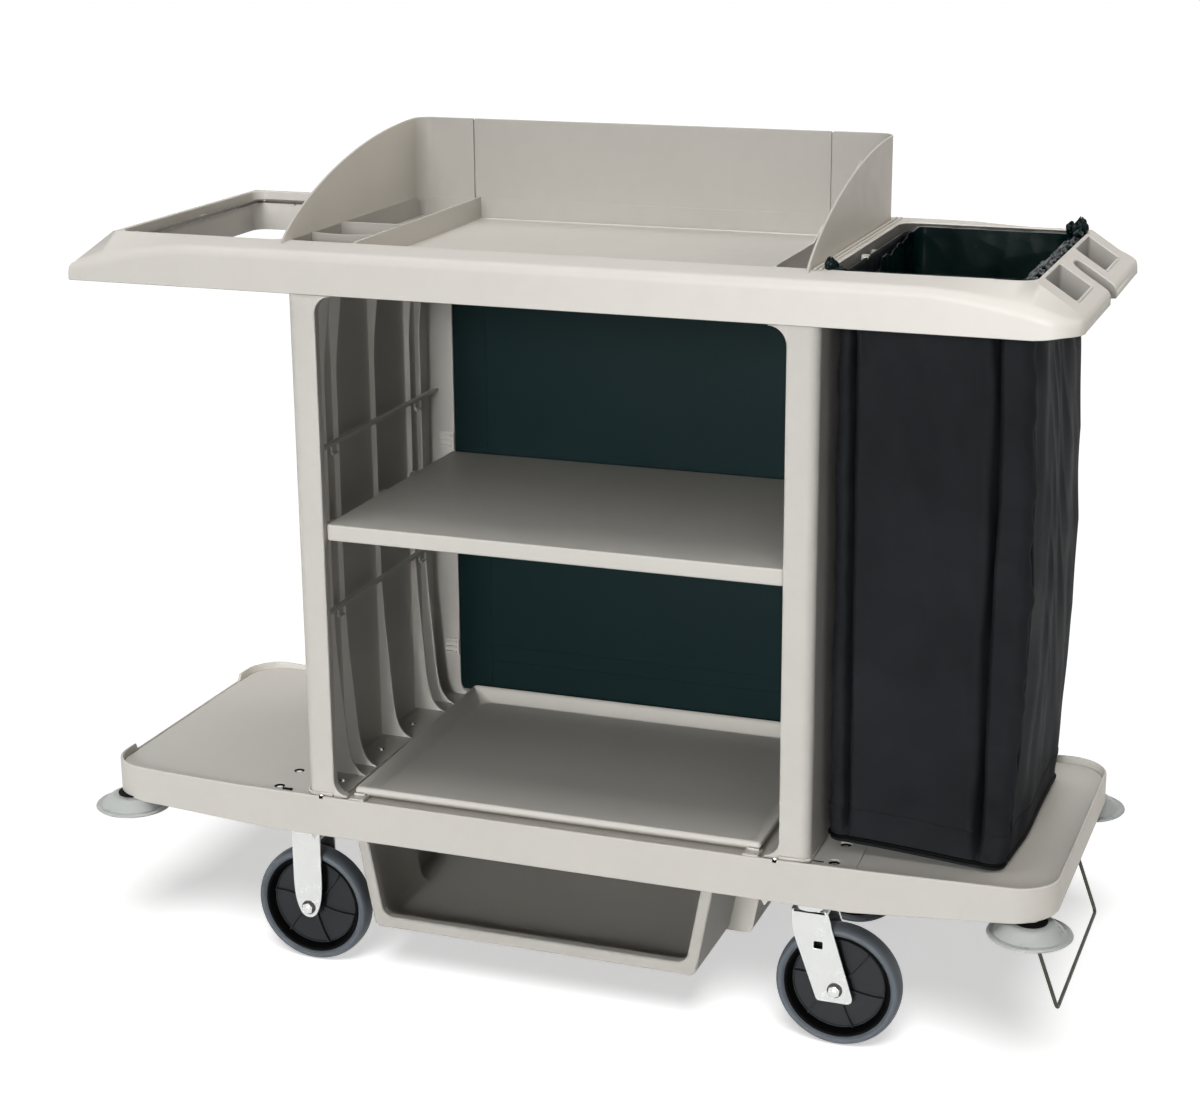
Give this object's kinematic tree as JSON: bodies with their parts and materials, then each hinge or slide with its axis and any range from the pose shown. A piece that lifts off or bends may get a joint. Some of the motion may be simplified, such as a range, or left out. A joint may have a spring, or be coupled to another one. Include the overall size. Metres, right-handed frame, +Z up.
{
  "type": "housekeeping cart",
  "caption": "Housekeeping cart: moulded base and top deck on ribbed side panels, with hood, tray, shelf, laundry bag, under-deck bin, casters and corner bumpers.",
  "frame": {"origin": "on the floor under the middle of the cart", "axes": "+X towards the handle and bag end, -Y the open front, +Z up"},
  "size_m": [1.534, 0.592, 1.2648],
  "materials": {
    "cart_plastic": "fine moulded texture, satin",
    "back_panel": "smooth extruded sheet, satin",
    "bag_cloth": "coated woven nylon",
    "liner_film": "thin glossy film",
    "tyre": "grey non-marking rubber",
    "hub_plastic": "moulded, satin",
    "bumper_plastic": "soft grey moulding",
    "zinc_steel": "bright zinc plate",
    "rail_wire": "plated wire",
    "bail_wire": "dull plated wire"
  },
  "bodies": {
    "cart": {"base_deck": "cart_plastic", "bottom_tray": "cart_plastic", "tray_latches": "cart_plastic", "under_bin": "cart_plastic", "side_panel_left": "cart_plastic", "side_panel_right": "cart_plastic", "shelf_rails_left": "cart_plastic", "shelf_rails_right": "cart_plastic", "panel_screws": "zinc_steel", "back_panel": "back_panel", "panel_clips": "cart_plastic", "middle_shelf": "cart_plastic", "top_deck": "cart_plastic", "hood_left": "cart_plastic", "hood_rear": "cart_plastic", "hood_right": "cart_plastic", "divider_left": "cart_plastic", "divider_right": "cart_plastic", "cup_divider": "cart_plastic", "cross_divider": "cart_plastic", "bag_rail_left": "rail_wire", "bag_rail_right": "rail_wire", "rail_clips_left": "cart_plastic", "rail_clips_right": "cart_plastic", "laundry_bag": "bag_cloth", "bag_base": "bag_cloth", "bag_liner": "liner_film", "bag_hooks": "cart_plastic", "caster_bolts": "zinc_steel", "rigid_fork_front": "zinc_steel", "rigid_axle_front": "zinc_steel", "rigid_fork_rear": "zinc_steel", "rigid_axle_rear": "zinc_steel", "swivel_plate_front": "zinc_steel", "swivel_pin_front": "zinc_steel", "swivel_plate_rear": "zinc_steel", "swivel_pin_rear": "zinc_steel", "bumper_bolts": "zinc_steel", "bail_brackets": "zinc_steel"},
    "rigid_wheel_front": {"rigid_bush_front": "zinc_steel", "rigid_hub_front": "hub_plastic", "rigid_tyre_front": "tyre"},
    "swivel_fork_front": {"swivel_fork_front": "zinc_steel", "swivel_axle_front": "zinc_steel"},
    "swivel_wheel_front": {"swivel_bush_front": "zinc_steel", "swivel_hub_front": "hub_plastic", "swivel_tyre_front": "tyre"},
    "bumper_front_left": {"bumper_front_left": "bumper_plastic"},
    "bumper_front_right": {"bumper_front_right": "bumper_plastic"},
    "rigid_wheel_rear": {"rigid_bush_rear": "zinc_steel", "rigid_hub_rear": "hub_plastic", "rigid_tyre_rear": "tyre"},
    "swivel_fork_rear": {"swivel_fork_rear": "zinc_steel", "swivel_axle_rear": "zinc_steel"},
    "swivel_wheel_rear": {"swivel_bush_rear": "zinc_steel", "swivel_hub_rear": "hub_plastic", "swivel_tyre_rear": "tyre"},
    "bumper_rear_left": {"bumper_rear_left": "bumper_plastic"},
    "bumper_rear_right": {"bumper_rear_right": "bumper_plastic"},
    "bail": {"wire_bail": "bail_wire"}
  },
  "joints": [
    {"name": "rigid_front_roll", "type": "hinge", "parent": "cart", "child": "rigid_wheel_front", "pos_m": [-0.414, -0.202, 0.093], "axis": [0, 1, 0], "continuous": true},
    {"name": "swivel_front_turn", "type": "hinge", "parent": "cart", "child": "swivel_fork_front", "pos_m": [0.391, -0.202, 0.22], "axis": [0, 0, 1], "continuous": true},
    {"name": "swivel_front_roll", "type": "hinge", "parent": "swivel_fork_front", "child": "swivel_wheel_front", "pos_m": [0.431, -0.202, 0.093], "axis": [0, 1, 0], "continuous": true},
    {"name": "bumper_front_left_spin", "type": "hinge", "parent": "cart", "child": "bumper_front_left", "pos_m": [-0.709, -0.238, 0.235], "axis": [0, 0, 1], "continuous": true},
    {"name": "bumper_front_right_spin", "type": "hinge", "parent": "cart", "child": "bumper_front_right", "pos_m": [0.709, -0.238, 0.235], "axis": [0, 0, 1], "continuous": true},
    {"name": "rigid_rear_roll", "type": "hinge", "parent": "cart", "child": "rigid_wheel_rear", "pos_m": [-0.414, 0.202, 0.093], "axis": [0, 1, 0], "continuous": true},
    {"name": "swivel_rear_turn", "type": "hinge", "parent": "cart", "child": "swivel_fork_rear", "pos_m": [0.391, 0.202, 0.22], "axis": [0, 0, 1], "continuous": true},
    {"name": "swivel_rear_roll", "type": "hinge", "parent": "swivel_fork_rear", "child": "swivel_wheel_rear", "pos_m": [0.351, 0.202, 0.093], "axis": [0, 1, 0], "continuous": true},
    {"name": "bumper_rear_left_spin", "type": "hinge", "parent": "cart", "child": "bumper_rear_left", "pos_m": [-0.709, 0.238, 0.235], "axis": [0, 0, 1], "continuous": true},
    {"name": "bumper_rear_right_spin", "type": "hinge", "parent": "cart", "child": "bumper_rear_right", "pos_m": [0.709, 0.238, 0.235], "axis": [0, 0, 1], "continuous": true},
    {"name": "bail_swing", "type": "hinge", "parent": "cart", "child": "bail", "pos_m": [0.687, 0, 0.2448], "axis": [0, -1, 0], "range_deg": [0, 70]}
  ]
}
